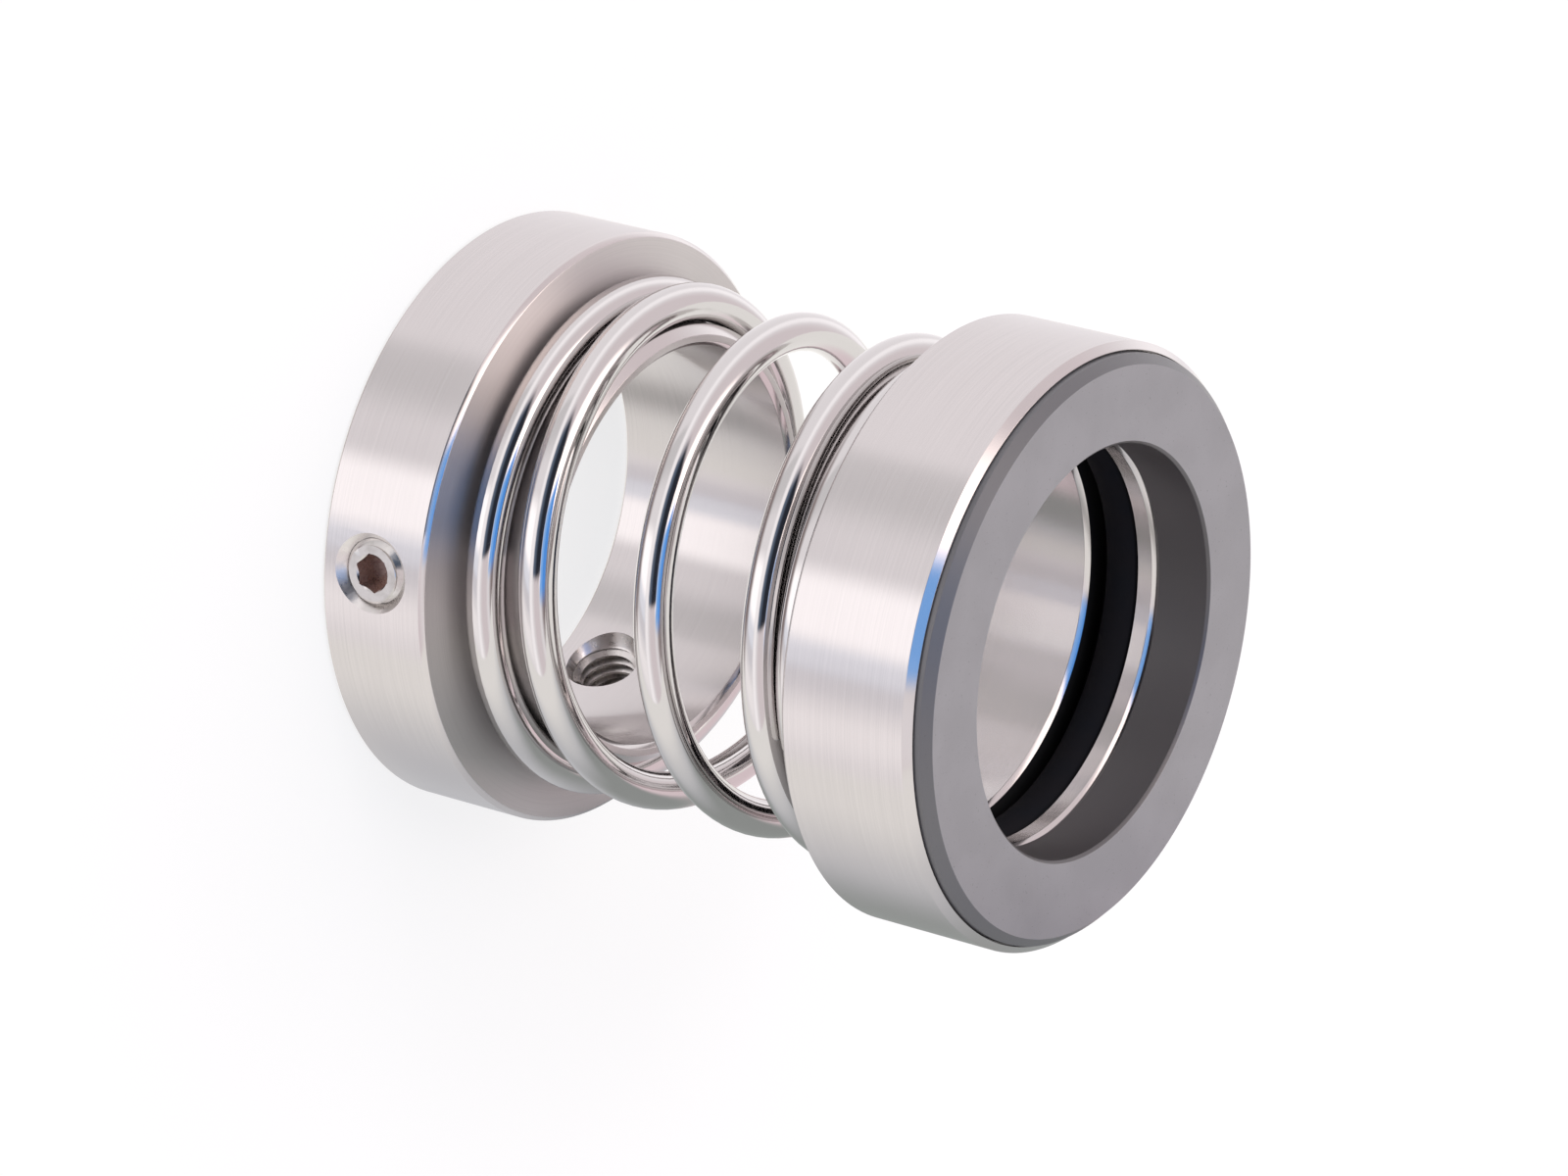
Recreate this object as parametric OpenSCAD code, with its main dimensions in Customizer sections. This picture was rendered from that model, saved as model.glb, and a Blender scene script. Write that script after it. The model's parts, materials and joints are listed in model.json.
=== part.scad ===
// Single-spring mechanical seal, rotating half, for a pump shaft.
// The drive collar stands on its back face at z = 0 and the shaft axis is +Z.
// Order along the axis: drive collar, coil spring, seal head, seal face.

/* [Shaft] */
// Diameter of the shaft that the seal is made for
shaft_d = 35; // [28:0.5:40]
// Radial room between the shaft and the collar bore
collar_room = 0.025; // [0.01:0.005:0.05]
// Radial room between the shaft and the head bore
head_room = 0.15; // [0.1:0.05:0.3]

/* [Drive collar] */
// Outside diameter of the collar
collar_d = 52; // [51:0.5:60]
// Width of the collar, from its back face to the spring seat
collar_w = 10.7; // [10:0.1:16]
// Length of the hub that stands out of the collar, inside the spring
hub_l = 7.4; // [4:0.1:12]
// Radial thickness of the hub and of the spigot on the head
hub_wall = 1.8; // [1.5:0.1:2.2]
// Chamfer on the collar's outside edges
collar_edge = 0.4; // [0.2:0.05:0.8]
// Chamfer on the outside edge of the hub and of the spigot
hub_edge = 0.8; // [0.3:0.05:1]
// Chamfer on the edges of both bores
bore_edge = 0.4; // [0.2:0.05:0.5]

/* [Set screws] */
// Thread diameter of the set screws
screw_d = 6; // [5:0.5:6]
// Length of a set screw
screw_l = 4; // [3.5:0.1:5]
// Width across the flats of the hexagon socket
socket_af = 3; // [2.5:0.1:3]
// Depth of the hexagon socket
socket_depth = 2.2; // [1.5:0.1:2.6]
// How far the screw's outer end lies below the collar's outside
screw_sink = 0.25; // [0.1:0.05:1]
// Radial room between a screw and its hole
screw_room = 0.05; // [0.02:0.01:0.08]
// Chamfer on both ends of a screw
screw_edge = 0.5; // [0.2:0.05:0.7]
// Radial width of the countersink at the outer end of a screw hole
sink_w = 0.7; // [0.3:0.05:1]
// Radial width of the countersink where a screw hole meets the collar bore
bore_sink_w = 0.2; // [0.1:0.05:0.5]
// Height of the screws above the collar's back face
screw_z = 5.2; // [4.8:0.1:5.4]
// Direction of the first screw, about the shaft axis
screw_angle = -90; // [-180:1:180]

/* [Coil spring] */
// Diameter of the spring wire
wire_d = 3.3; // [2.6:0.1:3.6]
// Distance between the collar's spring seat and the head's, with the spring relaxed
spring_l = 36.5; // [30:0.5:45]
// Number of turns, with both closed ends
spring_turns = 4.4; // [4:0.05:5]
// Turns that lie closed at each end
closed_turns = 1; // [0.75:0.01:1.05]
// Turns over which the wire leaves a closed end
ramp_turns = 0.2; // [0.15:0.01:0.3]
// Gap between neighbouring turns at the closed ends
closed_gap = 0.2; // [0.1:0.05:0.3]
// How much the free turns draw in where no hub or spigot spreads them
draw_in = 0.45; // [0:0.05:0.6]
// Turns over which they draw in
draw_turns = 0.4; // [0.2:0.05:0.5]
// Radial room between the spring and the hub or spigot inside it
spring_room = 0.08; // [0.08:0.01:0.2]
// Direction of the wire's end on the collar, about the shaft axis
spring_start = 146; // [-180:1:180]

/* [Seal head] */
// Outside diameter of the head
head_d = 52; // [48:0.5:60]
// Length of the spigot that centres the spring and guides the head on the shaft
spigot_l = 8.2; // [5:0.1:10]
// Length of the wall between the spring seat and the O-ring groove
back_wall = 1.8; // [1.5:0.1:4]
// Length of the wall between the O-ring groove and the pocket
land_l = 1.8; // [1.3:0.1:3]
// Wall of the head round the pocket that holds the face ring
rim_wall = 0.8; // [0.6:0.05:1.5]
// Depth of that pocket
pocket_depth = 4; // [3:0.1:5]
// Chamfer on the head's front outside edge
head_front_edge = 0.65; // [0.3:0.05:1]
// Chamfer on the head's back outside edge
head_back_edge = 0.4; // [0.2:0.05:0.8]

/* [O-ring] */
// Section diameter of the O-ring
oring_d = 3.5; // [3:0.1:3.5]
// How far the shaft presses the O-ring outwards
oring_squeeze = 0.45; // [0.3:0.05:0.6]
// Groove length beyond the O-ring's section
groove_play = 1.5; // [0.6:0.1:2]

/* [Face ring] */
// Length of the face ring
face_l = 5.3; // [5.1:0.1:7]
// Radial room between the shaft and the face ring
face_room = 0.2; // [0.1:0.05:0.5]
// Chamfer on the outside edge of the sealing face
face_edge = 0.8; // [0.2:0.05:0.9]
// Chamfer on the outside edge of the face ring's back
face_back_edge = 0.4; // [0.2:0.05:0.6]
// Chamfer on the inside edges of the face ring
face_bore_edge = 0.25; // [0.1:0.05:0.4]
// Radial room between the face ring and its pocket
pocket_room = 0.03; // [0.02:0.01:0.05]
// Width of the relief round the pocket's mouth
mouth_w = 0.12; // [0.08:0.01:0.15]

/* [Hidden] */

$fn = 96;
shaft_r = shaft_d / 2;
seat_r = shaft_r + hub_wall;
collar_bore_r = shaft_r + collar_room;
head_bore_r = shaft_r + head_room;

// Three screws share the collar evenly
screw_step = 120;
screw_r = screw_d / 2 - screw_room;
screw_out_r = collar_d / 2 - screw_sink;
screw_in_r = screw_out_r - screw_l;

// The spring seats on the collar and on the back of the head
spring_r = seat_r + spring_room + wire_d / 2;
spring_z = collar_w + wire_d / 2;
spring_rise = spring_l - wire_d;
closed_pitch = wire_d + closed_gap;
open_pitch = closed_pitch
    + (spring_rise - closed_pitch * spring_turns) / (spring_turns - 2 * closed_turns - ramp_turns);
wire_sides = 16;
steps_per_turn = 40;
wire_steps = round(spring_turns * steps_per_turn);

// Stations along the head, from its spring seat to the sealing face
head_z = collar_w + spring_l;
spigot_z = head_z - spigot_l;
groove_z = head_z + back_wall;
groove_l = oring_d + groove_play;
land_z = groove_z + groove_l;
pocket_z = land_z + land_l;
head_top_z = pocket_z + pocket_depth;
face_z = pocket_z + face_l;
oring_in_r = shaft_r - oring_squeeze;
groove_r = oring_in_r + oring_d;
pocket_r = head_d / 2 - rim_wall;
face_r = pocket_r - pocket_room;
// The relief is as deep as four of its widths
mouth_depth = 4 * mouth_w;
// A flat this wide is left at least between the relief and the head's front chamfer
lip_w = 0.05;
front_edge = min(head_front_edge, rim_wall - mouth_w - lip_w);
// The O-ring lies this close to the walls that it rests on
oring_touch = 0.02;
// Cutters stand this far out of what they cut
over = 1;

// Rise of the wire after t turns from a closed end, up to half way along the spring
function ramp_rise(s) = s <= 0 ? 0 : s < ramp_turns ? s * s / (2 * ramp_turns) : s - ramp_turns / 2;
function end_rise(t) = closed_pitch * t + (open_pitch - closed_pitch) * ramp_rise(t - closed_turns);
function wire_z(t) = t <= spring_turns / 2
    ? spring_z + end_rise(t)
    : spring_z + spring_rise - end_rise(spring_turns - t);

// Pitch at t turns, which sets the slope of the wire
function ramp_share(s) = max(0, min(1, s / ramp_turns));
function wire_pitch(t) = closed_pitch
    + (open_pitch - closed_pitch) * ramp_share(min(t, spring_turns - t) - closed_turns);

// The free turns draw in once the wire has left its closed end and has cleared the hub or spigot
leave_turns = closed_turns + ramp_turns;
hub_rise = max(hub_l, spigot_l) - wire_d / 2 - end_rise(leave_turns);
draw_from = leave_turns + max(0, hub_rise / open_pitch);
function draw_share(s) = let (c = max(0, min(1, s / draw_turns))) c * c * (3 - 2 * c);
function wire_r(t) = spring_r - draw_in * draw_share(min(t, spring_turns - t) - draw_from);

// One ring of points round the wire, square to its run
function wire_ring(t) =
    let (a = spring_start + 360 * t,
         r = wire_r(t),
         slope = atan2(wire_pitch(t), 2 * PI * r),
         out = [cos(a), sin(a), 0],
         up = [sin(a) * sin(slope), -cos(a) * sin(slope), cos(slope)],
         centre = [r * cos(a), r * sin(a), wire_z(t)])
    [for (i = [0 : wire_sides - 1])
        let (b = 360 * i / wire_sides)
        centre + wire_d / 2 * (cos(b) * out + sin(b) * up)];

// Collar and hub in one turned piece, with the chamfers in its profile
module collar_body() {
    r = collar_d / 2;
    top = collar_w + hub_l;
    rotate_extrude()
        polygon([
            [collar_bore_r + bore_edge, 0],
            [r - collar_edge, 0],
            [r, collar_edge],
            [r, collar_w - collar_edge],
            [r - collar_edge, collar_w],
            [seat_r, collar_w],
            [seat_r, top - hub_edge],
            [seat_r - hub_edge, top],
            [collar_bore_r + bore_edge, top],
            [collar_bore_r, top - bore_edge],
            [collar_bore_r, bore_edge]
        ]);
}

// Radial screw hole with a countersink outside and another at the bore
module screw_hole() {
    hole_r = screw_d / 2;
    rotate([0, 90, 0]) {
        translate([0, 0, collar_bore_r - over])
            cylinder(r = hole_r, h = collar_d / 2 - collar_bore_r + 2 * over);
        translate([0, 0, collar_d / 2 - sink_w])
            cylinder(r1 = hole_r, r2 = hole_r + sink_w + over, h = sink_w + over);
        translate([0, 0, collar_bore_r - over])
            cylinder(r1 = hole_r + bore_sink_w + over, r2 = hole_r, h = bore_sink_w + over);
    }
}

module drive_collar() {
    color("silver")
        difference() {
            collar_body();
            for (i = [0 : 2])
                rotate([0, 0, screw_angle + i * screw_step])
                    translate([0, 0, screw_z])
                        screw_hole();
        }
}

// Socket set screw, drawn along +X from its flat point to its socket end
module set_screw() {
    mouth_r = socket_af / sqrt(3);
    // Depth at which the chamfer round the socket meets the hexagon's corners
    mouth_rise = mouth_r - socket_af / 2;
    rotate([0, 90, 0])
        difference() {
            translate([0, 0, screw_in_r])
                rotate_extrude()
                    polygon([
                        [0, 0],
                        [screw_r - screw_edge, 0],
                        [screw_r, screw_edge],
                        [screw_r, screw_l - screw_edge],
                        [screw_r - screw_edge, screw_l],
                        [0, screw_l]
                    ]);
            translate([0, 0, screw_out_r - socket_depth])
                cylinder(r = mouth_r, h = socket_depth + over, $fn = 6);
            translate([0, 0, screw_out_r - mouth_rise])
                cylinder(r1 = socket_af / 2, r2 = mouth_r + over, h = mouth_rise + over);
        }
}

module placed_screw(number) {
    color("lightgray")
        rotate([0, 0, screw_angle + (number - 1) * screw_step])
            translate([0, 0, screw_z])
                set_screw();
}

// Round wire swept up the spring, closed at both ends
module coil_spring() {
    rings = [for (k = [0 : wire_steps]) each wire_ring(spring_turns * k / wire_steps)];
    last = wire_steps * wire_sides;
    walls = [for (k = [0 : wire_steps - 1])
        for (i = [0 : wire_sides - 1])
            let (j = (i + 1) % wire_sides,
                 a = k * wire_sides,
                 b = a + wire_sides)
            [a + i, a + j, b + j, b + i]];
    start_cap = [for (i = [wire_sides - 1 : -1 : 0]) i];
    end_cap = [for (i = [0 : wire_sides - 1]) last + i];
    color("gainsboro")
        polyhedron(points = rings, faces = concat([start_cap], walls, [end_cap]), convexity = 10);
}

// Head in one turned piece: spigot, O-ring groove, land and pocket
module seal_head() {
    r = head_d / 2;
    mouth_r = pocket_r + mouth_w;
    color("silver")
        rotate_extrude()
            polygon([
                [head_bore_r + bore_edge, spigot_z],
                [seat_r - hub_edge, spigot_z],
                [seat_r, spigot_z + hub_edge],
                [seat_r, head_z],
                [r - head_back_edge, head_z],
                [r, head_z + head_back_edge],
                [r, head_top_z - front_edge],
                [r - front_edge, head_top_z],
                [mouth_r, head_top_z],
                [mouth_r, head_top_z - mouth_depth],
                [pocket_r, head_top_z - mouth_depth],
                [pocket_r, pocket_z],
                [head_bore_r + bore_edge, pocket_z],
                [head_bore_r, pocket_z - bore_edge],
                [head_bore_r, land_z],
                [groove_r, land_z],
                [groove_r, groove_z],
                [head_bore_r + bore_edge, groove_z],
                [head_bore_r, groove_z - bore_edge],
                [head_bore_r, spigot_z + bore_edge]
            ]);
}

// Hard sealing ring, seated on the floor of the pocket
module face_ring() {
    r = face_r;
    in_r = shaft_r + face_room;
    color("dimgray")
        rotate_extrude()
            polygon([
                [in_r + face_bore_edge, pocket_z],
                [r - face_back_edge, pocket_z],
                [r, pocket_z + face_back_edge],
                [r, face_z - face_edge],
                [r - face_edge, face_z],
                [in_r + face_bore_edge, face_z],
                [in_r, face_z - face_bore_edge],
                [in_r, pocket_z + face_bore_edge]
            ]);
}

// O-ring, pushed against the front wall of its groove
module o_ring() {
    section_r = oring_d / 2;
    color("black")
        translate([0, 0, land_z - section_r - oring_touch])
            rotate_extrude()
                translate([groove_r - section_r - oring_touch, 0])
                    circle(r = section_r, $fn = 48);
}

drive_collar();
placed_screw(1);  // set_screw_1
placed_screw(2);  // set_screw_2
placed_screw(3);  // set_screw_3
coil_spring();
seal_head();
face_ring();
o_ring();
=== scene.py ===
import json
import math

import bmesh
import bpy
from mathutils import Matrix, Quaternion, Vector


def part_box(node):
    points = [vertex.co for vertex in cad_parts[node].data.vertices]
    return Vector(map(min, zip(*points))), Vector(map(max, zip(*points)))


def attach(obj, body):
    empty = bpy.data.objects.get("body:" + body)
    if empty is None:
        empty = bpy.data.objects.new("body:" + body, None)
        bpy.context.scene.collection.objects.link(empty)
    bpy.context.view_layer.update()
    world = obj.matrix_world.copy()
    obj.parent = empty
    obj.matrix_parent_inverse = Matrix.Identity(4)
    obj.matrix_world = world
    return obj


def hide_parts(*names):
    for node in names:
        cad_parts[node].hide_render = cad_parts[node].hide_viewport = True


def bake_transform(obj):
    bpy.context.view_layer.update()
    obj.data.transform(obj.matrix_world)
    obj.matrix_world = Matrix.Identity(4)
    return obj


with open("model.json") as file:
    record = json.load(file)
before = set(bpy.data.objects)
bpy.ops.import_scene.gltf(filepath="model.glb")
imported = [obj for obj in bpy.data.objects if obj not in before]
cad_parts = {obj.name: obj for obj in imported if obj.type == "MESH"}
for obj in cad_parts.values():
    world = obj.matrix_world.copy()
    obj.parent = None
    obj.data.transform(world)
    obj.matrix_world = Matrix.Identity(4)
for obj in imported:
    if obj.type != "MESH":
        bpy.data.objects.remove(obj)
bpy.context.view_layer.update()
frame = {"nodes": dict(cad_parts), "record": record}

# Camera. The seal lies on its side in the photograph and stands on its collar here, so the camera is
# rolled until the shaft axis points to the right and a little down. The lens is long.
MM = 0.001
CAMERA_PLACE = Vector((-175.2, -503.4, 365.1)) * MM
CAMERA_AIM = Vector((4.0, 7.9, 24.4)) * MM
CAMERA_ROLL = math.radians(104.28)
CAMERA_LENS = 170.0

camera_data = bpy.data.cameras.new("photo_camera")
camera_data.lens = CAMERA_LENS
camera_data.sensor_width = 36.0
camera_data.clip_start = 0.05
camera_data.clip_end = 20.0
camera = bpy.data.objects.new("photo_camera", camera_data)
camera.location = CAMERA_PLACE
camera.rotation_mode = "QUATERNION"
camera.rotation_quaternion = (
    (CAMERA_AIM - CAMERA_PLACE).to_track_quat("-Z", "Y") @ Quaternion((0, 0, 1), CAMERA_ROLL)
)
bpy.context.scene.collection.objects.link(camera)
bpy.context.scene.camera = camera
bpy.context.scene.view_settings.view_transform = "Standard"


# Studio. The seal sits on a pale floor in a white light tent. The tent's panels run along the shaft
# axis, each round a direction in degrees. Up and left are those of the photograph, where it lies down.
TENT_TOP = Vector((-0.994, -0.109, 0.0))
TENT_LEFT = Vector((0.109, -0.994, 0.0))
TENT_MIDDLE = 82
TENT_COLOUR = (1.10, 1.06, 1.085)
# Each panel: the directions where it starts, is full, is still full and ends, its strength and colour.
# The panels stand low, towards the collar
PANELS_LOW = (-0.30, -0.10)
TENT_PANELS = [
    (9, 17, 28, 46, -0.24, (1.04, 0.96, 1.00)),
    (55, 66, 82, 90, 0.58, (1.00, 0.98, 0.97)),
    (84, 88, 95, 98, 0.12, (0.00, 0.45, 1.00)),
    (93, 98, 102, 108, -0.16, (1.10, 1.00, 0.85)),
    (108, 114, 120, 131, 0.17, (1.00, 0.96, 0.88)),
]
# The bench that the seal lies on in the photograph stands beside it here, and only shows in the metal:
# a glowing sheet, a painted reflection.
# It has a painted shadow under the spring, and a painted contact shadow, darkest where the seal
# touches it
BENCH_AWAY = 26.3 * MM
BENCH_BACK = 0.25
BENCH_FRONT = 0.05
BENCH_LENGTH = 0.5
BENCH_MIDDLE = 0.031
BENCH_COLOUR = (0.69, 0.70, 0.73)
BENCH_FAR_COLOUR = (1.10, 1.08, 1.05)
BENCH_FAR = (0.016, 0.038)
BENCH_SHADE_COLOUR = (0.39, 0.415, 0.405)
BENCH_WARM_COLOUR = (0.98, 0.82, 0.86)
BENCH_WARM = (-0.006, 0.003)
BENCH_SHADE_START = (0.010, 0.024)
BENCH_SHADE_END = (0.056, 0.070)
BENCH_SHADE_FRONT = (0.012, 0.023)
BENCH_SHADE_BACK = (-0.060, -0.030)
BENCH_CONTACT_SHADE = 0.5
BENCH_CONTACT_SHADE_SIDE = 0.012
# A thin band of light runs round it, and above that it is a little dim and warm
BAND_STRENGTH = 0.26
BAND_HEIGHT = (-0.24, -0.06, 0.00, 0.22)
UPPER_DIM = (-0.16, -0.21, -0.21)
UPPER_HEIGHT = (0.10, 0.40, 0.64, 0.80)
# Along the shaft axis it is a dim brown at both ends
POLE_COLOUR = (0.32, 0.26, 0.255)
POLE_TOP = (0.80, 0.95)
POLE_BOTTOM = (-0.97, -0.78)
# The tent is open towards the camera, and the room behind it is dark. Each pair is where an edge of
# the opening starts and ends, along the shaft axis, upwards and sideways
ROOM_COLOUR = (0.16, 0.21, 0.30)
ROOM_DEPTH = (0.03, 0.035, 0.05)
ROOM_DEEPEN = (0.20, 0.50)
ROOM_HEIGHT = (0.08, 0.20)
ROOM_CEILING = (0.72, 0.80)
ROOM_LIFT = (0.02, 0.08)
ROOM_TOP = (0.84, 0.97)
ROOM_SIDE = (0.14, 0.30)
# Blue daylight comes in past the end of the room
DAYLIGHT_COLOUR = (0.30, 0.62, 1.20)
DAYLIGHT_DEPTH = (0.12, 0.42, 1.10)
DAYLIGHT_DEEPEN = (0.86, 0.92)
DAYLIGHT_HEIGHT = (0.72, 0.80)
DAYLIGHT_LIFT = (-0.16, -0.03)
DAYLIGHT_TOP = (0.36, 0.50)
DAYLIGHT_SIDE = (0.05, 0.15)
# A white window is along the shaft axis, above the seal as it lies in the photograph
WINDOW_COLOUR = (2.70, 2.36, 2.25)
WINDOW_HEIGHT = (0.66, 0.80)
WINDOW_LIFT = (-0.06, 0.08)
WINDOW_SIDE = (-0.80, -0.62)
FLOOR_SIZE = 3.0
FLOOR_WHITE = 0.92
FLOOR_GLOW = 0.75
FLOOR_ROUGHNESS = 0.9
KEY_LAMP_PLACE = Vector((-0.55, -0.35, 0.75))
KEY_LAMP_AIM = Vector((0, 0, 0.03))
KEY_LAMP_SIZE = 0.5
KEY_LAMP_POWER = 3.0


class Signal:
    """A node socket that can be written in sums. Each sum or product adds a Math node."""

    def __init__(self, socket):
        self.socket = socket

    def node(self, kind, settings, inputs, output=0):
        """Adds a node of that type to this socket's tree: settings first, then values and links."""
        tree = self.socket.id_data
        made = tree.nodes.new(kind)
        for name, value in settings.items():
            setattr(made, name, value)
        for key, value in inputs.items():
            if isinstance(value, Signal):
                tree.links.new(value.socket, made.inputs[key])
            else:
                made.inputs[key].default_value = value
        return Signal(made.outputs[output])

    def math(self, operation, *values):
        return self.node("ShaderNodeMath", {"operation": operation}, dict(enumerate(values)))

    def __add__(self, other):
        return self.math("ADD", self, other)

    def __sub__(self, other):
        return self.math("SUBTRACT", self, other)

    def __rsub__(self, other):
        return self.math("SUBTRACT", other, self)

    def __mul__(self, other):
        return self.math("MULTIPLY", self, other)

    def __truediv__(self, other):
        return self.math("DIVIDE", self, other)

    def __pow__(self, other):
        return self.math("POWER", self, other)

    __radd__ = __add__
    __rmul__ = __mul__

    def fade(self, low, high, start=0.0, end=1.0):
        """Goes smoothly from start at low to end at high."""
        if low > high:
            low, high, start, end = high, low, end, start
        return self.node(
            "ShaderNodeMapRange",
            {"interpolation_type": "SMOOTHSTEP"},
            {"Value": self, "From Min": low, "From Max": high, "To Min": start, "To Max": end},
        )

    def paint(self, under, over):
        """Colour under where this signal is 0, and colour over where it is 1."""
        under = (*under, 1) if isinstance(under, tuple) else under
        over = (*over, 1) if isinstance(over, tuple) else over
        return self.node(
            "ShaderNodeMix", {"data_type": "RGBA"}, {0: self, 6: under, 7: over}, output=2
        )

    def along(self, direction):
        """Dot product of this vector with a fixed one."""
        return self.node(
            "ShaderNodeVectorMath",
            {"operation": "DOT_PRODUCT"},
            {0: self, 1: tuple(direction)},
            output=1,
        )


def add_colour(colour, share, tint):
    """colour plus tint times the signal share."""
    grey = share.node("ShaderNodeCombineXYZ", {}, {0: share, 1: share, 2: share})
    return colour.node(
        "ShaderNodeVectorMath", {"operation": "MULTIPLY_ADD"}, {0: grey, 1: tint, 2: colour}
    )


def light_tent():
    world = bpy.data.worlds.new("light_tent")
    world.use_nodes = True
    bpy.context.scene.world = world
    tree = world.node_tree
    shine = tree.nodes["Background"]
    direction = Signal(tree.nodes.new("ShaderNodeTexCoord").outputs["Generated"])
    turn = math.radians(TENT_MIDDLE)
    ahead = direction.along(TENT_TOP * math.cos(turn) + TENT_LEFT * math.sin(turn))
    aside = direction.along(TENT_LEFT * math.cos(turn) - TENT_TOP * math.sin(turn))
    angle = ahead.math("ARCTAN2", aside, ahead) * math.degrees(1) + TENT_MIDDLE
    colour = Signal(tree.nodes.new("ShaderNodeRGB").outputs[0])
    colour.socket.default_value = (*TENT_COLOUR, 1)
    height = direction.along((0, 0, 1))
    lift = direction.along(TENT_TOP)
    sideways = direction.along(TENT_LEFT)
    low = height.fade(*PANELS_LOW, 1, 0)
    for start, full, last, end, strength, tint in TENT_PANELS:
        share = low * angle.fade(start, full, 0, strength) * angle.fade(last, end, 1, 0)
        colour = add_colour(colour, share, tint)
    band = height.fade(*BAND_HEIGHT[:2]) * height.fade(*BAND_HEIGHT[2:], 1, 0)
    colour = add_colour(colour, band * BAND_STRENGTH, (1.0, 1.0, 1.0))
    upper = height.fade(*UPPER_HEIGHT[:2]) * height.fade(*UPPER_HEIGHT[2:], 1, 0)
    colour = add_colour(colour, upper, UPPER_DIM)
    pole = height.fade(*POLE_TOP) + height.fade(*POLE_BOTTOM, 1, 0)
    colour = pole.paint(colour, POLE_COLOUR)
    window = height.fade(*WINDOW_HEIGHT) * lift.fade(*WINDOW_LIFT)
    window = window * sideways.fade(*WINDOW_SIDE)
    colour = window.paint(colour, WINDOW_COLOUR)
    room = height.fade(*ROOM_HEIGHT) * height.fade(*ROOM_CEILING, 1, 0)
    room = room * lift.fade(*ROOM_LIFT) * lift.fade(*ROOM_TOP, 1, 0)
    room = room * sideways.fade(*ROOM_SIDE)
    daylight = height.fade(*DAYLIGHT_HEIGHT)
    daylight = daylight * lift.fade(*DAYLIGHT_LIFT) * lift.fade(*DAYLIGHT_TOP, 1, 0)
    daylight = daylight * sideways.fade(*DAYLIGHT_SIDE)
    inside = height.fade(*ROOM_DEEPEN).paint(ROOM_COLOUR, ROOM_DEPTH)
    sky = height.fade(*DAYLIGHT_DEEPEN).paint(DAYLIGHT_COLOUR, DAYLIGHT_DEPTH)
    tent = daylight.paint(room.paint(colour, inside), sky)
    seen = Signal(tree.nodes.new("ShaderNodeLightPath").outputs["Is Camera Ray"])
    tree.links.new(seen.paint(tent, (1.0, 1.0, 1.0)).socket, shine.inputs["Color"])


def pale_floor():
    mesh = bpy.data.meshes.new("pale_floor")
    sheet = bmesh.new()
    bmesh.ops.create_grid(sheet, x_segments=1, y_segments=1, size=FLOOR_SIZE / 2)
    sheet.to_mesh(mesh)
    sheet.free()
    material = bpy.data.materials.new("pale_floor")
    material.use_nodes = True
    shader = material.node_tree.nodes["Principled BSDF"]
    shader.inputs["Base Color"].default_value = (FLOOR_WHITE, FLOOR_WHITE, FLOOR_WHITE, 1)
    shader.inputs["Roughness"].default_value = FLOOR_ROUGHNESS
    shader.inputs["Specular IOR Level"].default_value = 0.0
    glow = material.node_tree.nodes.new("ShaderNodeEmission")
    seen = material.node_tree.nodes.new("ShaderNodeLightPath")
    both = material.node_tree.nodes.new("ShaderNodeMixShader")
    share = Signal(seen.outputs["Is Camera Ray"]) * FLOOR_GLOW
    material.node_tree.links.new(share.socket, both.inputs[0])
    material.node_tree.links.new(shader.outputs[0], both.inputs[1])
    material.node_tree.links.new(glow.outputs[0], both.inputs[2])
    material.node_tree.links.new(
        both.outputs[0], material.node_tree.nodes["Material Output"].inputs["Surface"]
    )
    mesh.materials.append(material)
    floor = bpy.data.objects.new("pale_floor", mesh)
    bpy.context.scene.collection.objects.link(floor)
    # The metal shows the tent and not the floor, as it does where it lies in the photograph
    floor.visible_glossy = False


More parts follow.
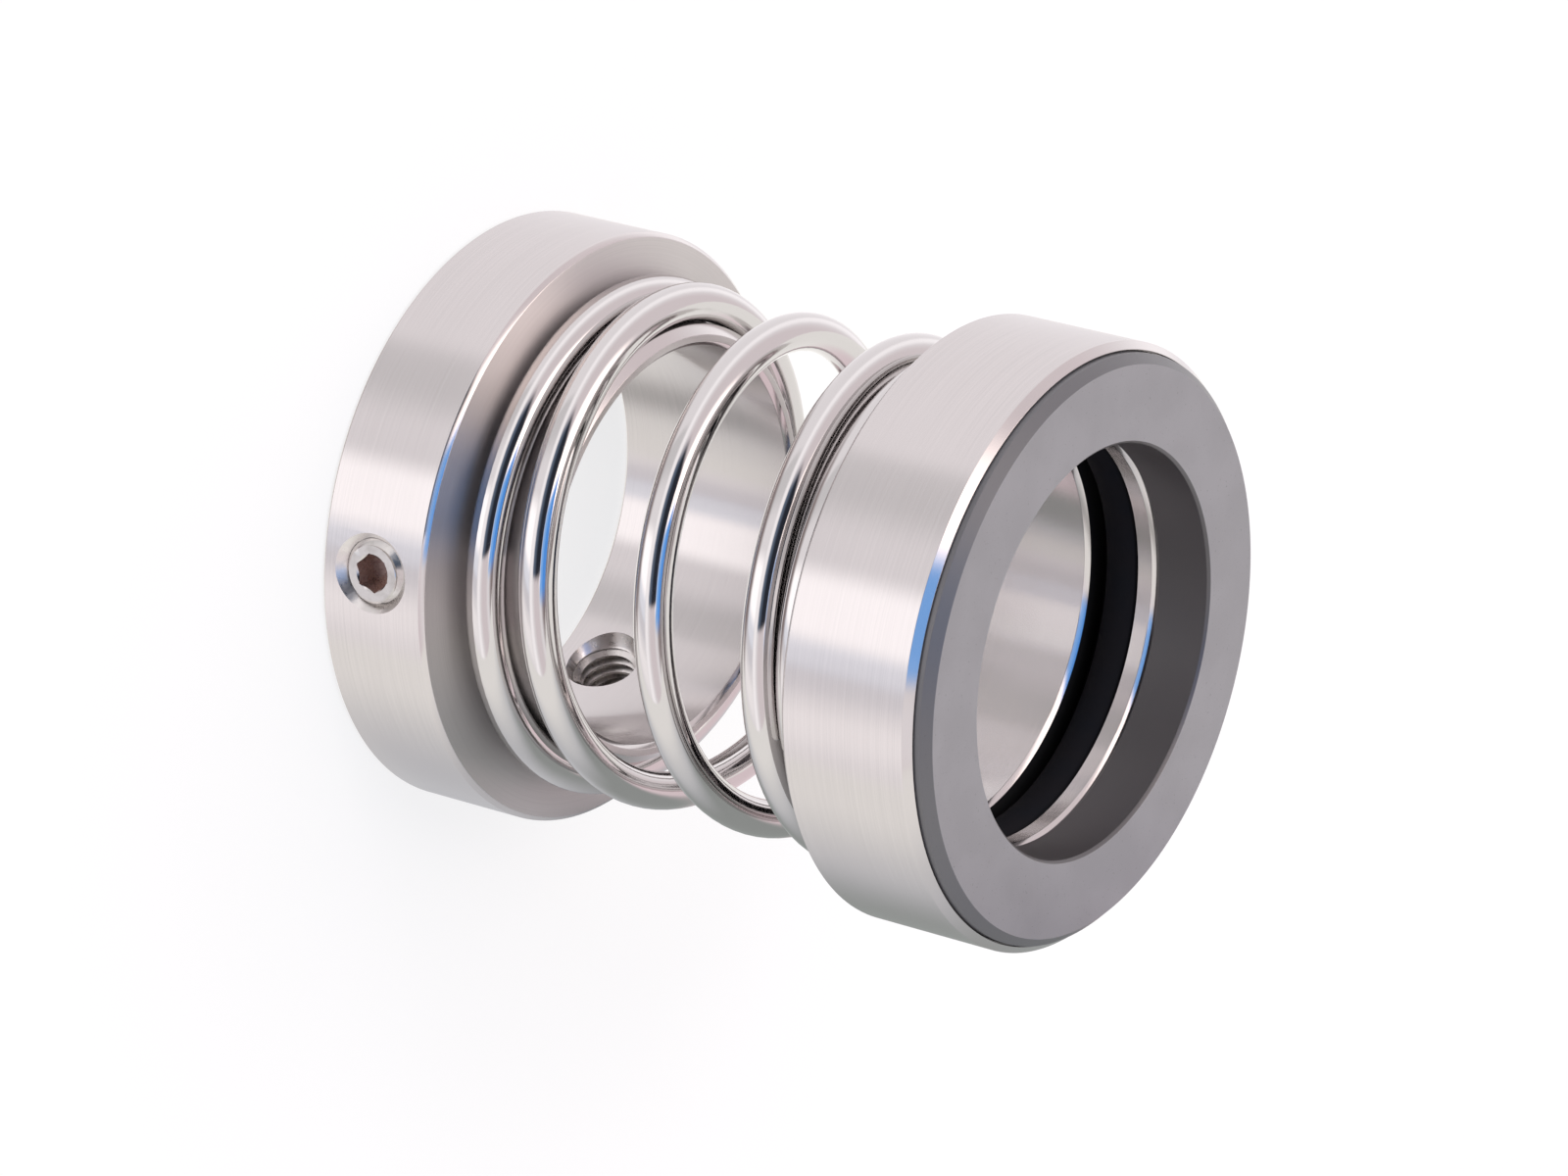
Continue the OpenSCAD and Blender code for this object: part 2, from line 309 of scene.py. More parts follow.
def painted_bench_reflection():
    mesh = bpy.data.meshes.new("painted_bench_reflection")
    sheet = bmesh.new()
    bmesh.ops.create_grid(sheet, x_segments=1, y_segments=1, size=0.5)
    sheet.transform(
        Matrix.Translation(((BENCH_FRONT - BENCH_BACK) / 2, 0, 0))
        @ Matrix.Diagonal((BENCH_FRONT + BENCH_BACK, BENCH_LENGTH, 1, 1))
    )
    sheet.to_mesh(mesh)
    sheet.free()
    material = bpy.data.materials.new("painted_bench_reflection")
    material.use_nodes = True
    tree = material.node_tree
    tree.nodes.remove(tree.nodes["Principled BSDF"])
    glow = tree.nodes.new("ShaderNodeEmission")
    place = Signal(tree.nodes.new("ShaderNodeTexCoord").outputs["Object"])
    side, along, _ = (
        place.node("ShaderNodeSeparateXYZ", {}, {0: place}, output=i) for i in range(3)
    )
    beside = side.math("ABSOLUTE", side)
    beyond = along.math("ABSOLUTE", along - BENCH_MIDDLE) - BENCH_MIDDLE
    away = beside.math("MAXIMUM", beside, beyond + BENCH_FAR[0])
    colour = away.fade(*BENCH_FAR).paint(BENCH_COLOUR, BENCH_FAR_COLOUR)
    # Painted shadow of the seal on the bench, under the spring
    shade = along.fade(*BENCH_SHADE_START) * along.fade(*BENCH_SHADE_END, 1, 0)
    shade = shade * side.fade(*BENCH_SHADE_BACK) * side.fade(*BENCH_SHADE_FRONT, 1, 0)
    shaded = side.fade(*BENCH_WARM).paint(BENCH_WARM_COLOUR, BENCH_SHADE_COLOUR)
    colour = shade.paint(colour, shaded)
    # Painted contact shadow along the line where the seal touches the bench
    contact_shade = beside.fade(0, BENCH_CONTACT_SHADE_SIDE, BENCH_CONTACT_SHADE, 0) * (1 - shade)
    tree.links.new(colour.socket, glow.inputs["Color"])
    tree.links.new((1 - contact_shade).socket, glow.inputs["Strength"])
    tree.links.new(glow.outputs[0], tree.nodes["Material Output"].inputs["Surface"])
    mesh.materials.append(material)
    bench = bpy.data.objects.new("painted_bench_reflection", mesh)
    upwards = Matrix((TENT_LEFT, (0, 0, 1), TENT_TOP)).transposed().to_4x4()
    bench.matrix_world = Matrix.Translation(TENT_TOP * -BENCH_AWAY) @ upwards
    bpy.context.scene.collection.objects.link(bench)
    bench.visible_camera = False
    bench.visible_diffuse = False
    bench.visible_shadow = False


def soft_lamp(name, place, aim, size, power):
    lamp_data = bpy.data.lights.new(name, "AREA")
    lamp_data.shape = "SQUARE"
    lamp_data.size = size
    lamp_data.energy = power
    lamp = bpy.data.objects.new(name, lamp_data)
    lamp.location = place
    lamp.rotation_mode = "QUATERNION"
    lamp.rotation_quaternion = (aim - place).to_track_quat("-Z", "Y")
    bpy.context.scene.collection.objects.link(lamp)
    return lamp


light_tent()
pale_floor()
painted_bench_reflection()
key_lamp = soft_lamp("key_lamp", KEY_LAMP_PLACE, KEY_LAMP_AIM, KEY_LAMP_SIZE, KEY_LAMP_POWER)
key_lamp.visible_glossy = False


# Drive collar. Turned from stainless bar in one piece with its hub, then drilled, countersunk and
# tapped for three M6 set screws. Its turned faces keep the fine rings that the tool left.
STEEL_COLOUR = (0.63, 0.60, 0.595)
STEEL_ROUGHNESS = 0.19
FACING_ROUGHNESS = 0.36
CHAMFER_ROUGHNESS = 0.10
STEEL_GRAIN = 1.0
GRAIN_TURN = 0.25
TOOL_LINE = 0.07 * MM
TOOL_BAND = 0.35 * MM
LINE_REACH = 18 * MM
LINE_HEIGHT = 0.0003 * MM
DRILLED_COLOUR = (0.72, 0.69, 0.67)
EDGE_BREAK = 0.05 * MM
LATHE_STEPS = 192
SMOOTH_ANGLE = math.radians(38)

collar_low, collar_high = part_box("drive_collar")
collar_r = collar_high.x
hub_top = collar_high.z
mounts = {mount["name"]: mount for mount in frame["record"]["mounts"]}
collar_bore_r = mounts["shaft_bore"]["dims"]["r_mm"] * MM
spring_seat_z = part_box("coil_spring")[0].z
hub_r = 19.3 * MM
hub_edge = 0.8 * MM
bore_edge = 0.4 * MM
outside_edge = 0.4 * MM


def new_material(name, colour, roughness, metallic=0.0, **fixed):
    """A material whose shader has these values; gives it, its shader and the place on the piece."""
    material = bpy.data.materials.new(name)
    material.use_nodes = True
    shader = material.node_tree.nodes["Principled BSDF"]
    shader.inputs["Base Color"].default_value = (*colour, 1)
    shader.inputs["Roughness"].default_value = roughness
    shader.inputs["Metallic"].default_value = metallic
    for socket, value in fixed.items():
        shader.inputs[socket.replace("_", " ")].default_value = value
    place = Signal(material.node_tree.nodes.new("ShaderNodeTexCoord").outputs["Object"])
    return material, shader, place


def feed(shader, socket, signal):
    shader.id_data.links.new(signal.socket, shader.inputs[socket])


def noise(place, size, detail=2.0):
    """Soft noise between 0 and 1 with patches of about that size."""
    return place.node(
        "ShaderNodeTexNoise", {}, {"Vector": place, "Scale": 1 / size, "Detail": detail}
    )


def bump(shader, height, depth):
    raised = height.node(
        "ShaderNodeBump", {}, {"Height": height, "Distance": depth, "Strength": 1.0}
    )
    feed(shader, "Normal", raised)


def lathe_place(place, line, reach):
    """The place on a turned piece, stretched so that noise on it makes rings round the shaft axis."""
    x, y, z = (place.node("ShaderNodeSeparateXYZ", {}, {0: place}, output=i) for i in range(3))
    radius = (x * x + y * y) ** 0.5
    rings = (z + radius) / line
    return place.node("ShaderNodeCombineXYZ", {}, {0: x / reach, 1: y / reach, 2: rings})


def turned_steel():
    material, shader, place = new_material(
        "turned_steel",
        STEEL_COLOUR,
        STEEL_ROUGHNESS,
        metallic=1.0,
        Anisotropic=STEEL_GRAIN,
        Anisotropic_Rotation=GRAIN_TURN,
    )
    lines = noise(lathe_place(place, TOOL_LINE, LINE_REACH), 1.0, detail=3.0)
    bands = noise(lathe_place(place, TOOL_BAND, LINE_REACH), 1.0, detail=2.0)
    clouds = noise(place, 14 * MM)
    shade = lines * 0.6 + bands * 0.15 + clouds * 0.25
    dark = tuple(0.96 * share for share in STEEL_COLOUR)
    light = tuple(1.03 * share for share in STEEL_COLOUR)
    feed(shader, "Base Color", shade.fade(0.35, 0.65).paint(dark, light))
    # The end faces are turned coarser than the rounds, and the chamfers are polished
    sides = Signal(shader.id_data.nodes.new("ShaderNodeTexCoord").outputs["Normal"])
    upright = sides.math("ABSOLUTE", sides.along((0, 0, 1)))
    rough = upright.fade(0.25, 0.6, STEEL_ROUGHNESS, CHAMFER_ROUGHNESS)
    rough = rough + upright.fade(0.8, 0.97, 0, FACING_ROUGHNESS - CHAMFER_ROUGHNESS)
    feed(shader, "Roughness", rough + (lines - 0.5) * 0.06 + (bands - 0.5) * 0.02)
    bump(shader, lines * upright.fade(0.2, 0.5, 1, 0), LINE_HEIGHT)
    return material


def drilled_steel():
    material, shader, place = new_material("drilled_steel", DRILLED_COLOUR, 0.3, metallic=1.0)
    scuffs = noise(place, 0.5 * MM, detail=2.0)
    feed(shader, "Roughness", scuffs.fade(0.3, 0.7, 0.26, 0.36))
    bump(shader, scuffs, 0.0010 * MM)
    return material


STEEL = turned_steel()
DRILLED = drilled_steel()


def finished_piece(name, shape, *materials):
    """An object with that bmesh as its mesh and those materials; the bmesh is then gone."""
    mesh = bpy.data.meshes.new(name)
    shape.to_mesh(mesh)
    shape.free()
    for material in materials:
        mesh.materials.append(material)
    piece = bpy.data.objects.new(name, mesh)
    bpy.context.scene.collection.objects.link(piece)
    return piece


def apply_modifiers(piece):
    """Makes the piece's mesh what its modifiers show."""
    bpy.context.view_layer.update()
    shown = piece.evaluated_get(bpy.context.evaluated_depsgraph_get())
    mesh = bpy.data.meshes.new_from_object(shown)
    piece.modifiers.clear()
    old = piece.data
    piece.data = mesh
    bpy.data.meshes.remove(old)
    mesh.name = piece.name


def smooth_piece(piece):
    """Smooth shading with crisp flats, as on a machined piece."""
    piece.data.shade_smooth()
    piece.data.set_sharp_from_angle(angle=SMOOTH_ANGLE)
    weighted = piece.modifiers.new("crisp_flats", "WEIGHTED_NORMAL")
    weighted.keep_sharp = True
    apply_modifiers(piece)


def cut(piece, tool, operation="DIFFERENCE"):
    """Cuts the piece with a tool object, which is then gone."""
    cutting = piece.modifiers.new("cut", "BOOLEAN")
    cutting.object = tool
    cutting.operation = operation
    cutting.solver = "EXACT"
    cutting.material_mode = "TRANSFER"
    apply_modifiers(piece)
    bpy.data.objects.remove(tool)


def lathe(outline, edge_break=0.0, steps=LATHE_STEPS):
    """A bmesh turned about Z from a closed outline of (radius, height), its corners rounded."""
    shape = bmesh.new()
    corners = [shape.verts.new((radius, 0, height)) for radius, height in outline]
    for start, end in zip(corners, corners[1:] + corners[:1]):
        shape.edges.new((start, end))
    if edge_break:
        bmesh.ops.bevel(
            shape,
            geom=shape.verts[:] + shape.edges[:],
            offset=edge_break,
            segments=3,
            profile=0.5,
            affect="VERTICES",
            material=-1,
        )
    bmesh.ops.spin(
        shape,
        geom=shape.verts[:] + shape.edges[:],
        cent=(0, 0, 0),
        axis=(0, 0, 1),
        angle=2 * math.pi,
        steps=steps,
        use_merge=True,
    )
    bmesh.ops.recalc_face_normals(shape, faces=shape.faces)
    return shape


# Threads. M6 coarse: the tap's crest is the thread diameter, and the screw runs with a little room.
THREAD_PITCH = 1.0 * MM
THREAD_DEPTH = 0.541 * MM
THREAD_STEPS = 48
THREAD_FLAT = THREAD_PITCH / 8
SINK_STEPS = 64
WELD = 1e-7
tap_r = 3.0 * MM
tap_start = 15 * MM
tap_turns = 14
screw_start = 19 * MM
screw_turns = 8
sink_w = 0.7 * MM
lead_w = 0.35 * MM
lead_l = 0.9 * MM
screw_z = 5.2 * MM
SCREW_DIRECTIONS = [math.radians(-90 + 120 * number) for number in range(3)]


def threaded_rod(crest_r, start, turns):
    """A bmesh of a right-hand threaded rod along Z, cut square at both ends."""
    root_r = crest_r - THREAD_DEPTH
    half_root = THREAD_FLAT
    half_crest = THREAD_FLAT / 2
    middle = THREAD_PITCH / 2
    profile = [
        (root_r, 0),
        (root_r, half_root),
        (crest_r, middle - half_crest),
        (crest_r, middle + half_crest),
        (root_r, THREAD_PITCH - half_root),
        (root_r, THREAD_PITCH),
    ]
    shape = bmesh.new()
    points = [shape.verts.new((radius, 0, start + height)) for radius, height in profile]
    for first, second in zip(points, points[1:]):
        shape.edges.new((first, second))
    bmesh.ops.spin(
        shape,
        geom=shape.verts[:] + shape.edges[:],
        cent=(0, 0, 0),
        axis=(0, 0, 1),
        angle=2 * math.pi * turns,
        steps=THREAD_STEPS * turns,
        dvec=(0, 0, THREAD_PITCH / THREAD_STEPS),
    )
    bmesh.ops.remove_doubles(shape, verts=shape.verts, dist=WELD)
    # The first and last turns are open, so both ends are cut square and closed
    low, high = start + THREAD_PITCH, start + turns * THREAD_PITCH
    for height, side in ((low, -1), (high, 1)):
        bmesh.ops.bisect_plane(
            shape,
            geom=shape.verts[:] + shape.edges[:] + shape.faces[:],
            plane_co=(0, 0, height),
            plane_no=(0, 0, side),
            clear_outer=True,
        )
    bmesh.ops.holes_fill(shape, edges=[edge for edge in shape.edges if edge.is_boundary])
    bmesh.ops.recalc_face_normals(shape, faces=shape.faces)
    return shape


def across_the_axis(direction):
    """Turns a shape that stands on Z to lie along a screw's axis, outwards from the shaft axis."""
    return (
        Matrix.Rotation(direction, 4, "Z")
        @ Matrix.Translation((0, 0, screw_z))
        @ Matrix.Rotation(math.pi / 2, 4, "Y")
    )


def drive_collar():
    shape = lathe(
        [
            (collar_bore_r + bore_edge, 0),
            (collar_r - outside_edge, 0),
            (collar_r, outside_edge),
            (collar_r, spring_seat_z - outside_edge),
            (collar_r - outside_edge, spring_seat_z),
            (hub_r, spring_seat_z),
            (hub_r, hub_top - hub_edge),
            (hub_r - hub_edge, hub_top),
            (collar_bore_r + bore_edge, hub_top),
            (collar_bore_r, hub_top - bore_edge),
            (collar_bore_r, bore_edge),
        ],
        EDGE_BREAK,
    )
    piece = finished_piece("turned_collar", shape, STEEL)
    over = 1 * MM
    for direction in SCREW_DIRECTIONS:
        tap = threaded_rod(tap_r, tap_start, tap_turns)
        tap.transform(across_the_axis(direction))
        cut(piece, finished_piece("tap", tap, DRILLED))
        # Both cones are drawn past the surface. The outer countersink goes down to the thread's
        # root, and the inner one is a long lead that the thread runs out in
        outer = [
            (0, collar_r - sink_w - THREAD_DEPTH),
            (tap_r - THREAD_DEPTH, collar_r - sink_w - THREAD_DEPTH),
            (tap_r + sink_w + over, collar_r + over),
            (0, collar_r + over),
        ]
        inner = [
            (0, collar_bore_r - over),
            (tap_r + lead_w * (1 + over / lead_l), collar_bore_r - over),
            (tap_r, collar_bore_r + lead_l),
            (tap_r - THREAD_DEPTH, collar_bore_r + lead_l + THREAD_DEPTH),
            (0, collar_bore_r + lead_l + THREAD_DEPTH),
        ]
        for outline in (outer, inner):
            sink = lathe(outline, steps=SINK_STEPS)
            bmesh.ops.remove_doubles(sink, verts=sink.verts, dist=WELD)
            sink.transform(across_the_axis(direction))
            cut(piece, finished_piece("sink", sink, DRILLED))
    smooth_piece(piece)
    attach(piece, "collar")
    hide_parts("drive_collar")


drive_collar()


# Set screws. Short M6 socket screws with a flat point, bright from the thread roller. Each stands
# a quarter of a millimetre below the collar's outside and takes a 3 mm hexagon key.
SCREW_COLOUR = (0.62, 0.60, 0.585)
SCREW_WORN_COLOUR = (0.50, 0.48, 0.46)
SOCKET_COLOUR = (0.40, 0.29, 0.26)
SOCKET_PALE_COLOUR = (0.50, 0.38, 0.34)
BARREL_STEPS = 96
screw_low, screw_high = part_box("set_screw_1")
screw_out_r = -screw_low.y
screw_in_r = -screw_high.y
screw_r = screw_high.x
screw_edge = 0.5 * MM
socket_af = 3.0 * MM
socket_depth = 2.2 * MM
socket_rim = 0.14 * MM
SOCKET_TURN = math.radians(13)


def screw_steel():
    material, shader, place = new_material("screw_steel", SCREW_COLOUR, 0.18, metallic=1.0)
    scuffs = noise(place, 0.35 * MM, detail=2.0)
    feed(shader, "Roughness", scuffs.fade(0.3, 0.7, 0.12, 0.24))
    worn = noise(place, 1.2 * MM, detail=2.0)
    feed(shader, "Base Color", worn.fade(0.4, 0.8).paint(SCREW_COLOUR, SCREW_WORN_COLOUR))
    bump(shader, scuffs, 0.0012 * MM)
    return material


# The hexagon socket's walls and floor are a darker reddish brown than the screw, mottled paler
def dark_brown_socket():
    material, shader, place = new_material("dark_brown_socket", SOCKET_COLOUR, 0.3, metallic=0.85)
    mottle = noise(place, 0.3 * MM, detail=2.0)
    feed(shader, "Base Color", mottle.fade(0.3, 0.8).paint(SOCKET_COLOUR, SOCKET_PALE_COLOUR))
    feed(shader, "Roughness", mottle.fade(0.3, 0.7, 0.24, 0.4))
    return material


SCREW_STEEL = screw_steel()
SOCKET_BROWN = dark_brown_socket()


def set_screw(number, direction):
    name = f"socket_screw_{number}"
    piece = finished_piece(name, threaded_rod(screw_r, screw_start, screw_turns), SCREW_STEEL)
    # The chamfered ends are turned on the thread
    barrel = lathe(
        [
            (0, screw_in_r),
            (screw_r - screw_edge, screw_in_r),
            (screw_r + MM, screw_in_r + screw_edge + MM),
            (screw_r + MM, screw_out_r - screw_edge - MM),
            (screw_r - screw_edge, screw_out_r),
            (0, screw_out_r),
        ],
        steps=BARREL_STEPS,
    )
    bmesh.ops.remove_doubles(barrel, verts=barrel.verts, dist=WELD)
    cut(piece, finished_piece("barrel", barrel, SCREW_STEEL), "INTERSECT")
    corner_r = socket_af / math.sqrt(3)
    for sides, low_r, high_r, low, high, finish in (
        (6, corner_r, corner_r, screw_out_r - socket_depth, screw_out_r + MM, SOCKET_BROWN),
        (
            48,
            socket_af / 2 - socket_rim,
            corner_r + MM,
            screw_out_r - 2 * socket_rim,
            screw_out_r + MM,
            SCREW_STEEL,
        ),
    ):
        tool = bmesh.new()
        bmesh.ops.create_cone(
            tool,
            cap_ends=True,
            segments=sides,
            radius1=low_r,
            radius2=high_r,
            depth=high - low,
            matrix=Matrix.Translation((0, 0, (low + high) / 2)),
        )
        tool.transform(Matrix.Rotation(SOCKET_TURN, 4, "Z"))
        cut(piece, finished_piece("tool", tool, finish))
    piece.data.transform(across_the_axis(direction))
    smooth_piece(piece)
    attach(piece, f"screw_{number}")
    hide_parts(f"set_screw_{number}")


for index, screw_direction in enumerate(SCREW_DIRECTIONS):
    set_screw(index + 1, screw_direction)


# Coil spring. One length of polished stainless wire, coiled right-handed with its end turns closed.
# The hub and the head's spigot spread the closed turns, so the free turns are a little narrower.
WIRE_COLOUR = (0.63, 0.61, 0.605)
WIRE_SIDES = 48
WIRE_STEPS_PER_TURN = 96
spring_low, spring_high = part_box("coil_spring")
wire_d = 3.3 * MM
spring_turns = 4.4
closed_turns = 1.0
ramp_turns = 0.2
closed_pitch = wire_d + 0.2 * MM
draw_in = 0.45 * MM
draw_turns = 0.4
spring_start = math.radians(146)
hub_room = 0.08 * MM
closed_r = hub_r + hub_room + wire_d / 2
spring_rise = spring_high.z - spring_low.z - wire_d
open_pitch = closed_pitch + (spring_rise - closed_pitch * spring_turns) / (
    spring_turns - 2 * closed_turns - ramp_turns
)
WIRE_END_BREAK = 0.25 * MM
DRAW_LINE_WIDTH = 0.12 * MM
DRAW_LINE_LENGTH = 6 * MM


def share_between(value, low, high):
    return max(0.0, min(1.0, (value - low) / (high - low)))


def end_rise(turn):
    """Height gained after that many turns from a closed end, up to half way along the spring."""
    past = turn - closed_turns
    ramp = share_between(past, 0, ramp_turns)
    free = ramp * ramp * ramp_turns / 2 + max(0.0, past - ramp_turns)
    return closed_pitch * turn + (open_pitch - closed_pitch) * free


def wire_height(turn):
    if turn <= spring_turns / 2:
        return spring_low.z + wire_d / 2 + end_rise(turn)
    return spring_high.z - wire_d / 2 - end_rise(spring_turns - turn)


def wire_radius(turn):
    leave = closed_turns + ramp_turns
    seated = max(hub_top - spring_low.z, spring_high.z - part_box("seal_head")[0].z)
    hub_rise = seated - wire_d / 2 - end_rise(leave)
    start = leave + max(0.0, hub_rise / open_pitch)
    share = share_between(min(turn, spring_turns - turn), start, start + draw_turns)
    return closed_r - draw_in * share * share * (3 - 2 * share)


def wire_place(turn):
    """Carries a circle round the origin, square to Z, to the wire's section at that turn."""
    from_end = min(turn, spring_turns - turn)
    ramp = share_between(from_end, closed_turns, closed_turns + ramp_turns)
    pitch = closed_pitch + (open_pitch - closed_pitch) * ramp
    radius = wire_radius(turn)
    slope = math.atan2(pitch, 2 * math.pi * radius)
    return (
        Matrix.Rotation(spring_start + 2 * math.pi * turn, 4, "Z")
        @ Matrix.Translation((radius, 0, wire_height(turn)))
        @ Matrix.Rotation(slope - math.pi / 2, 4, "X")
    )


def spring_wire():
    material, shader, place = new_material("spring_wire", WIRE_COLOUR, 0.1, metallic=1.0)
    wire = place.node("ShaderNodeAttribute", {"attribute_name": "wire"}, {}, output=1)
    draw_lines = noise(wire, 1.0, detail=3.0).fade(0.35, 0.75)
    smears = noise(place, 2.5 * MM, detail=4.0).fade(0.45, 0.8)
    feed(shader, "Roughness", 0.05 + draw_lines * 0.04 + smears * 0.06)
    return material


def coil_spring():
    shape = bmesh.new()
    wire = shape.verts.layers.float_vector.new("wire")
    follow = shape.verts.layers.float.new("follow")
    made = bmesh.ops.create_circle(shape, segments=WIRE_SIDES, radius=wire_d / 2)
    for vert in made["verts"]:
        vert[wire] = (vert.co.x / DRAW_LINE_WIDTH, vert.co.y / DRAW_LINE_WIDTH, 0)
    place = wire_place(0)
    bmesh.ops.transform(shape, matrix=place, verts=shape.verts)
    ring = shape.edges[:]
    steps = round(spring_turns * WIRE_STEPS_PER_TURN)
    # A turn's share of the head's travel is its share of the coils that are free to close up
    for step in range(1, steps + 1):
        turn = spring_turns * step / steps
        made = bmesh.ops.extrude_edge_only(shape, edges=ring)
        ring = [item for item in made["geom"] if isinstance(item, bmesh.types.BMEdge)]
        ends = [item for item in made["geom"] if isinstance(item, bmesh.types.BMVert)]
        next_place = wire_place(turn)
        bmesh.ops.transform(shape, matrix=next_place @ place.inverted(), verts=ends)
        place = next_place
        length = 2 * math.pi * closed_r * turn
        for vert in ends:
            across, up, _ = vert[wire]
            vert[wire] = (across, up, length / DRAW_LINE_LENGTH)
            vert[follow] = share_between(turn, closed_turns, spring_turns - closed_turns)
    bmesh.ops.holes_fill(shape, edges=[edge for edge in shape.edges if edge.is_boundary])
    bmesh.ops.recalc_face_normals(shape, faces=shape.faces)
    caps = [face for face in shape.faces if len(face.verts) > 4]
    rims = [edge for face in caps for edge in face.edges]
    bmesh.ops.bevel(
        shape,
        geom=rims,
        offset=WIRE_END_BREAK,
        segments=3,
        profile=0.5,
        affect="EDGES",
        material=-1,
    )
    piece = finished_piece("polished_spring", shape, spring_wire())
    piece.data.shade_smooth()
    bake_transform(piece)
    # Each section's share of the head's travel is read back from the mesh
    follows = [0.0] * len(piece.data.vertices)
    piece.data.attributes["follow"].data.foreach_get("value", follows)
    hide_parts("coil_spring")


coil_spring()


# Seal head. Turned stainless in one piece: a spigot that centres the spring, a groove in its bore
# for the O-ring, a land, and a shrink-fitted pocket for the face ring with a relief at its mouth.
head_low, head_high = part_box("seal_head")
face_low, face_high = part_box("face_ring")
head_r = head_high.x
head_bore_r = mounts["head_bore"]["dims"]["r_mm"] * MM
pocket_z = face_low.z
pocket_r = face_high.x + 0.03 * MM
groove_z = spring_high.z + 1.8 * MM
land_z = pocket_z - 1.8 * MM
groove_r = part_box("o_ring")[1].x + 0.02 * MM
mouth_w = 0.12 * MM
mouth_depth = 4 * mouth_w
head_front_edge = 0.63 * MM
HEAD_EDGE_BREAK = 0.02 * MM
GROOVE_SHADE_COLOUR = (0.016, 0.0155, 0.017)


# Painted shade: the inside of the O-ring groove is near-black, where it lies in shade beside the
# O-ring
def groove_painted_shade():
    material, shader, place = new_material("groove_painted_shade", GROOVE_SHADE_COLOUR, 0.5, IOR=1.15)
    smears = noise(place, 2 * MM, detail=3.0)
    feed(shader, "Roughness", smears.fade(0.3, 0.7, 0.4, 0.6))
    return material


def seal_head():
    shape = lathe(
        [
            (head_bore_r + bore_edge, head_low.z),
            (hub_r - hub_edge, head_low.z),
            (hub_r, head_low.z + hub_edge),
            (hub_r, spring_high.z),
            (head_r - outside_edge, spring_high.z),
            (head_r, spring_high.z + outside_edge),
            (head_r, head_high.z - head_front_edge),
            (head_r - head_front_edge, head_high.z),
            (pocket_r + mouth_w, head_high.z),
            (pocket_r + mouth_w, head_high.z - mouth_depth),
            (pocket_r, head_high.z - mouth_depth),
            (pocket_r, pocket_z),
            (head_bore_r + bore_edge, pocket_z),
            (head_bore_r, pocket_z - bore_edge),
            (head_bore_r, land_z),
            (groove_r, land_z),
            (groove_r, groove_z),
            (head_bore_r + bore_edge, groove_z),
            (head_bore_r, groove_z - bore_edge),
            (head_bore_r, head_low.z + bore_edge),
        ],
        HEAD_EDGE_BREAK,
    )
    # The groove's walls and floor take the second material, a near-black painted shade
    for face in shape.faces:
        centre = face.calc_center_median()
        if groove_z - EDGE_BREAK < centre.z < land_z + EDGE_BREAK:
            in_groove = head_bore_r + EDGE_BREAK < centre.xy.length < pocket_r
            face.material_index = int(in_groove)
    piece = finished_piece("turned_head", shape, STEEL, groove_painted_shade())
    smooth_piece(piece)
    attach(piece, "head")
    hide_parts("seal_head")


seal_head()


# O-ring. Moulded black rubber with a satin skin, pushed against the front wall of its groove. Its own
# solid has the right shape, so it only gets its finish.
RUBBER_COLOUR = (0.012, 0.0115, 0.0135)
RUBBER_SMEARED = (0.010, 0.011, 0.014)


def oring_rubber():
    material, shader, place = new_material("oring_rubber", RUBBER_COLOUR, 0.6, IOR=1.1)
    pores = noise(place, 0.12 * MM, detail=3.0)
    smears = noise(place, 3 * MM, detail=3.0)
    feed(shader, "Roughness", 0.62 + pores * 0.12 + smears.fade(0.4, 0.7) * 0.10)
    feed(shader, "Base Color", smears.fade(0.3, 0.8).paint(RUBBER_COLOUR, RUBBER_SMEARED))
    bump(shader, pores, 0.004 * MM)
    return material


def o_ring():
    node = frame["nodes"]["o_ring"]
    node.data.materials.clear()
    node.data.materials.append(oring_rubber())


o_ring()


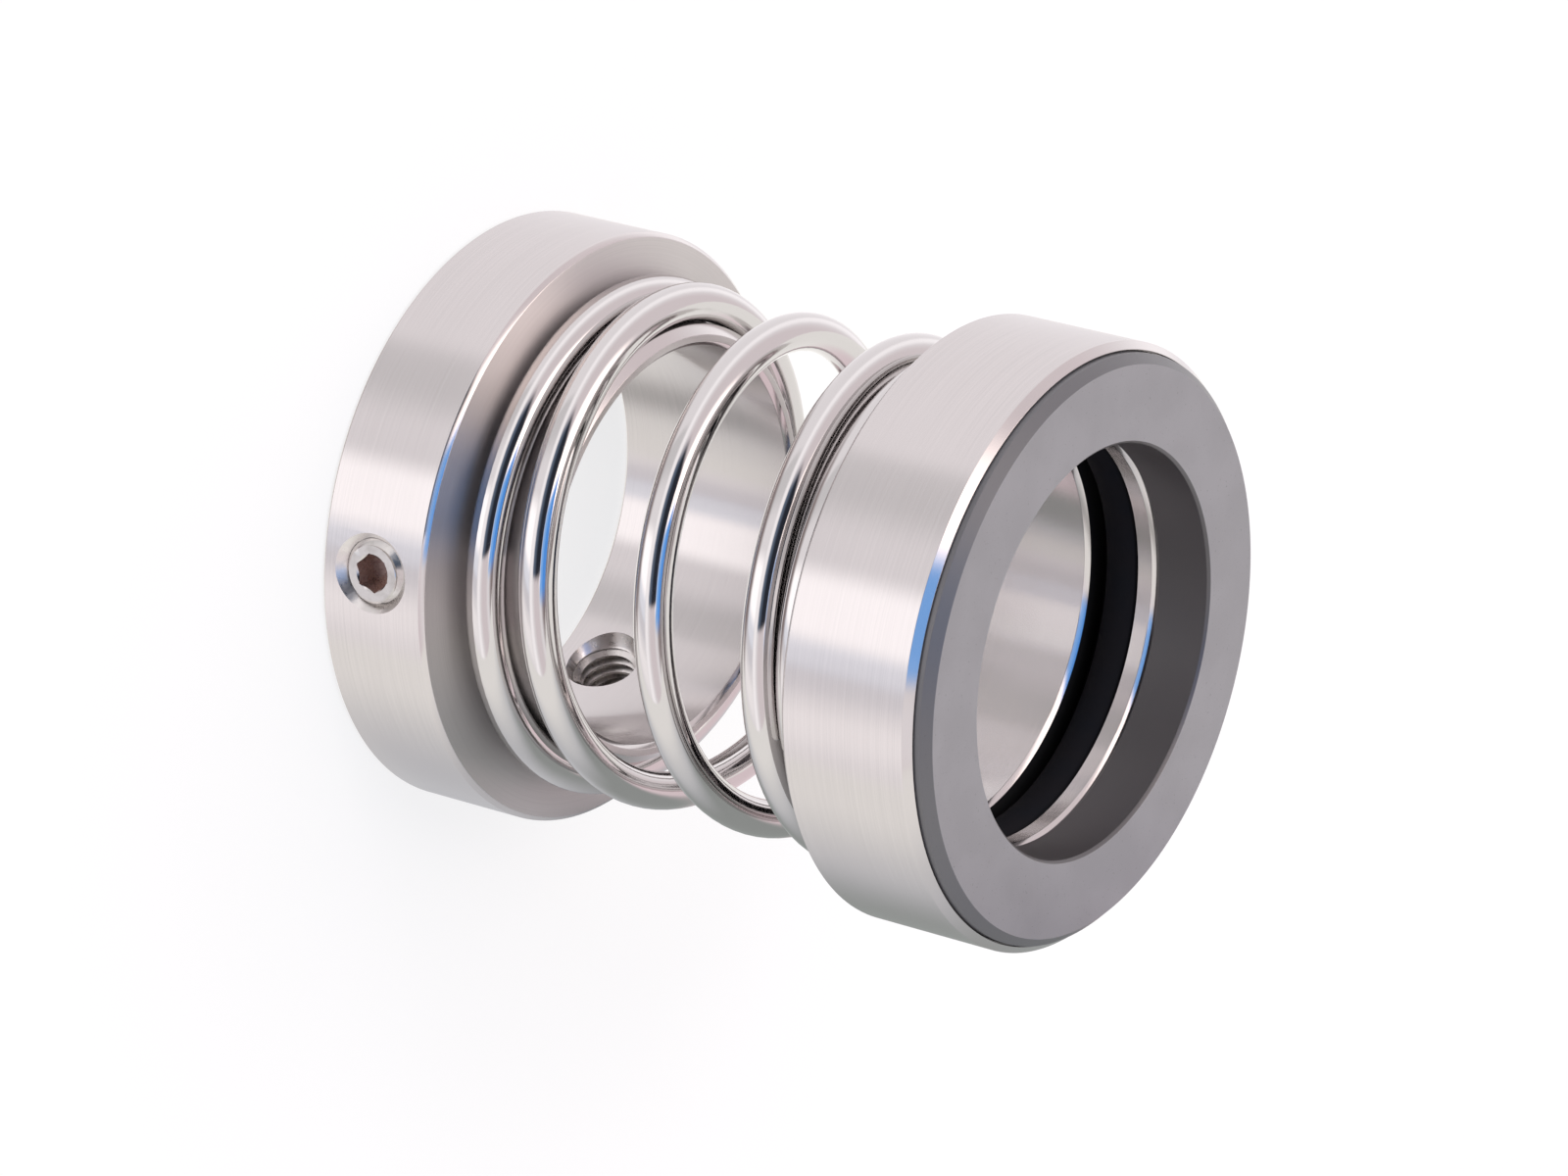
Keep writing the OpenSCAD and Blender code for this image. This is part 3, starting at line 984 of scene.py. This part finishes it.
# Face ring. Sintered silicon carbide, ground all over and lapped flat on the sealing face, which is
# paler than the ground sides. It stands a little proud of the head.
CARBIDE_COLOUR = (0.050, 0.045, 0.048)
CARBIDE_LIT_OUTSIDE = (0.080, 0.080, 0.086)
FACE_COLOUR = (0.182, 0.178, 0.190)
PORE_COLOUR = (0.04, 0.04, 0.045)
face_r = face_high.x
face_bore_r = 17.7 * MM
face_edge = 0.8 * MM
face_back_edge = 0.4 * MM
face_bore_edge = 0.25 * MM
FACE_EDGE_BREAK = 0.03 * MM


def face_carbide():
    material, shader, place = new_material("face_carbide", CARBIDE_COLOUR, 0.36, IOR=1.8)
    height = place.along((0, 0, 1))
    lapped = height.fade(face_high.z - 0.02 * MM, face_high.z - 0.01 * MM)
    grit = noise(place, 0.10 * MM, detail=4.0)
    clouds = noise(place, 5 * MM, detail=4.0)
    pores = noise(place, 0.22 * MM, detail=1.0).fade(0.70, 0.78)
    x, y = place.along((1, 0, 0)), place.along((0, 1, 0))
    radius = (x * x + y * y) ** 0.5
    # Painted light and shade: the ground carbide is painted paler towards the outside and darker in
    # the bore
    outside = radius.fade(face_bore_r + 1 * MM, face_r - 1 * MM)
    side = outside.paint(CARBIDE_COLOUR, CARBIDE_LIT_OUTSIDE)
    pale = tuple(1.12 * share for share in FACE_COLOUR)
    face = clouds.fade(0.35, 0.7).paint(FACE_COLOUR, pale)
    colour = lapped.paint(side, face)
    feed(shader, "Base Color", (pores * 0.5).paint(colour, PORE_COLOUR))
    feed(shader, "Roughness", 0.30 + grit * 0.14 + clouds * 0.04)
    bump(shader, grit, 0.003 * MM)
    return material


def face_ring():
    shape = lathe(
        [
            (face_bore_r + face_bore_edge, face_low.z),
            (face_r - face_back_edge, face_low.z),
            (face_r, face_low.z + face_back_edge),
            (face_r, face_high.z - face_edge),
            (face_r - face_edge, face_high.z),
            (face_bore_r + face_bore_edge, face_high.z),
            (face_bore_r, face_high.z - face_bore_edge),
            (face_bore_r, face_low.z + face_bore_edge),
        ],
        FACE_EDGE_BREAK,
    )
    piece = finished_piece("lapped_face_ring", shape, face_carbide())
    smooth_piece(piece)
    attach(piece, "head")
    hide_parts("face_ring")


face_ring()
